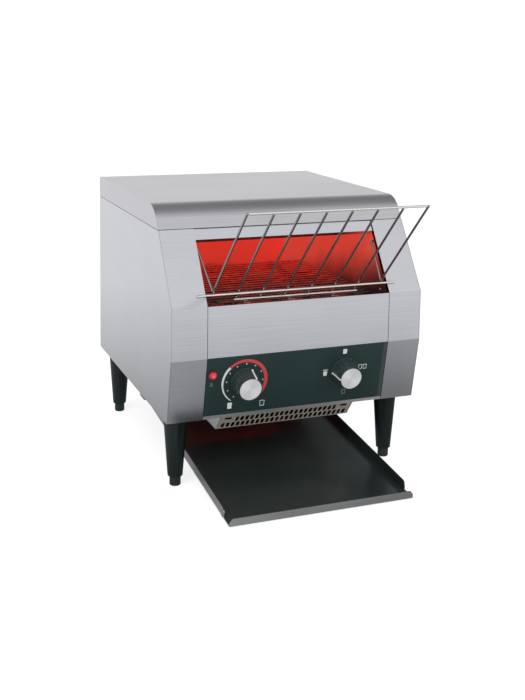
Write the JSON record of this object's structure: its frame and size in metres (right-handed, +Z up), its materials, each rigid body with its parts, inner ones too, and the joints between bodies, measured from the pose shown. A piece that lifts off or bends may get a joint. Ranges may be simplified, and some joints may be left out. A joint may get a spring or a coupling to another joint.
{
  "type": "conveyor toaster",
  "caption": "Counter-top conveyor toaster: sloped wire feed rack, wire belt between heaters, return chute and slide-out tray, two front dials, on tapered legs.",
  "frame": {"origin": "on the counter, in the middle of the whole machine's footprint, feed rack and cord gland included", "axes": "+X to the right as seen from the front, +Y from the front to the back, +Z up from the counter"},
  "size_m": [0.368, 0.5352, 0.4012],
  "materials": {
    "stainless": "brushed",
    "stainless_bright": "brushed",
    "panel_print": "satin",
    "black_steel": "matt enamel",
    "galvanised": "dull zinc",
    "hot_steel": "heat tinted",
    "belt_wire": "bright wire, heat dulled",
    "machined_steel": "turned",
    "bronze": "sintered",
    "chain_steel": "oiled",
    "gearbox_cast": "die cast",
    "motor_paint": "satin",
    "heater_sheath": "glowing",
    "ceramic": "unglazed",
    "wool": "mineral wool",
    "rack_wire": "bright plated wire",
    "tray_coat": "non-stick",
    "knob_black": "satin gloss",
    "knob_silver": "spun",
    "bakelite": "moulded",
    "lens_red": "clear red",
    "fan_black": "moulded",
    "terminal_plastic": "moulded",
    "gland_rubber": "matt",
    "leg_black": "gloss",
    "foot_black": "semi gloss",
    "screw_steel": "nickel plated"
  },
  "bodies": {
    "body": {"top_cover": "stainless", "left_side_panel": "stainless", "right_side_panel": "stainless", "rear_panel": "stainless", "base_pan": "galvanised", "left_column": "stainless_bright", "right_column": "stainless_bright", "front_header": "stainless_bright", "middle_panel": "stainless_bright", "control_panel": "stainless", "panel_overlay": "panel_print", "feed_sill": "black_steel", "intake_guard": "stainless", "left_wall": "black_steel", "right_wall": "black_steel", "upper_reflector": "hot_steel", "insulation_pad": "wool", "lower_reflector": "hot_steel", "belt_rails": "galvanised", "control_box": "galvanised", "return_chute": "hot_steel", "conveyor_belt": "belt_wire", "shaft_bushings": "bronze", "drive_chain": "chain_steel", "gearbox": "gearbox_cast", "motor": "motor_paint", "upper_heaters": "heater_sheath", "lower_heaters": "heater_sheath", "heater_insulators": "ceramic", "tray_hangers": "galvanised", "speed_control": "bakelite", "mode_switch": "bakelite", "pilot_lamp": "lens_red", "fan_frame": "fan_black", "terminal_block": "terminal_plastic", "cord_gland": "gland_rubber", "legs": "leg_black", "leg_nuts": "screw_steel", "rear_screws": "screw_steel"},
    "drive_roller": {"drive_shaft": "machined_steel", "drive_sprockets": "machined_steel", "chain_wheel": "chain_steel"},
    "idler_roller": {"idler_shaft": "machined_steel", "idler_sprockets": "machined_steel"},
    "motor_output": {"motor_sprocket": "chain_steel"},
    "speed_dial": {"speed_knob": "knob_black", "speed_knob_cap": "knob_silver", "speed_spindle": "machined_steel"},
    "mode_dial": {"mode_knob": "knob_black", "mode_knob_cap": "knob_silver", "mode_spindle": "machined_steel"},
    "feed_rack": {"rack_side_wires": "rack_wire", "rack_slats": "rack_wire", "rack_cross_wires": "rack_wire"},
    "toast_tray": {"tray": "tray_coat"},
    "cooling_fan": {"fan_rotor": "fan_black"},
    "levelling_foot_front_left": {"foot_front_left": "foot_black"},
    "levelling_foot_front_right": {"foot_front_right": "foot_black"},
    "levelling_foot_rear_left": {"foot_rear_left": "foot_black"},
    "levelling_foot_rear_right": {"foot_rear_right": "foot_black"}
  },
  "joints": [
    {"name": "belt_drive", "type": "hinge", "parent": "body", "child": "drive_roller", "pos_m": [0, 0.1226, 0.2365], "axis": [-1, 0, 0], "continuous": true, "deforming": ["conveyor_belt", "drive_chain"]},
    {"name": "belt_idler", "type": "hinge", "parent": "body", "child": "idler_roller", "pos_m": [0, -0.1154, 0.2365], "axis": [-1, 0, 0], "continuous": true},
    {"name": "motor_turn", "type": "hinge", "parent": "body", "child": "motor_output", "pos_m": [0.158, -0.00449, 0.15238], "axis": [-1, 0, 0], "continuous": true},
    {"name": "speed_turn", "type": "hinge", "parent": "body", "child": "speed_dial", "pos_m": [-0.078, -0.14392, 0.15193], "axis": [0, 0.9812, 0.1929], "range_deg": [-171, 124]},
    {"name": "mode_turn", "type": "hinge", "parent": "body", "child": "mode_dial", "pos_m": [0.07, -0.14392, 0.15193], "axis": [0, 0.9812, 0.1929], "range_deg": [-90, 180]},
    {"name": "rack_pivot", "type": "hinge", "parent": "body", "child": "feed_rack", "pos_m": [0, -0.0974, 0.324], "axis": [-1, 0, 0], "range_deg": [0, 60]},
    {"name": "tray_slide", "type": "slide", "parent": "body", "child": "toast_tray", "axis": [0, -1, 0], "range_m": [0, 0.3]},
    {"name": "fan_turn", "type": "hinge", "parent": "body", "child": "cooling_fan", "pos_m": [-0.042, -0.0234, 0.11], "axis": [0, 0, 1], "continuous": true},
    {"name": "foot_front_left_screw", "type": "slide", "parent": "body", "child": "levelling_foot_front_left", "axis": [0, 0, -1], "range_m": [0, 0.02]},
    {"name": "foot_front_right_screw", "type": "slide", "parent": "body", "child": "levelling_foot_front_right", "axis": [0, 0, -1], "range_m": [0, 0.02]},
    {"name": "foot_rear_left_screw", "type": "slide", "parent": "body", "child": "levelling_foot_rear_left", "axis": [0, 0, -1], "range_m": [0, 0.02]},
    {"name": "foot_rear_right_screw", "type": "slide", "parent": "body", "child": "levelling_foot_rear_right", "axis": [0, 0, -1], "range_m": [0, 0.02]}
  ],
  "couplings": [
    {"joint": "belt_idler", "follows": "belt_drive", "ratio": 1},
    {"joint": "motor_turn", "follows": "belt_drive", "ratio": 1}
  ]
}
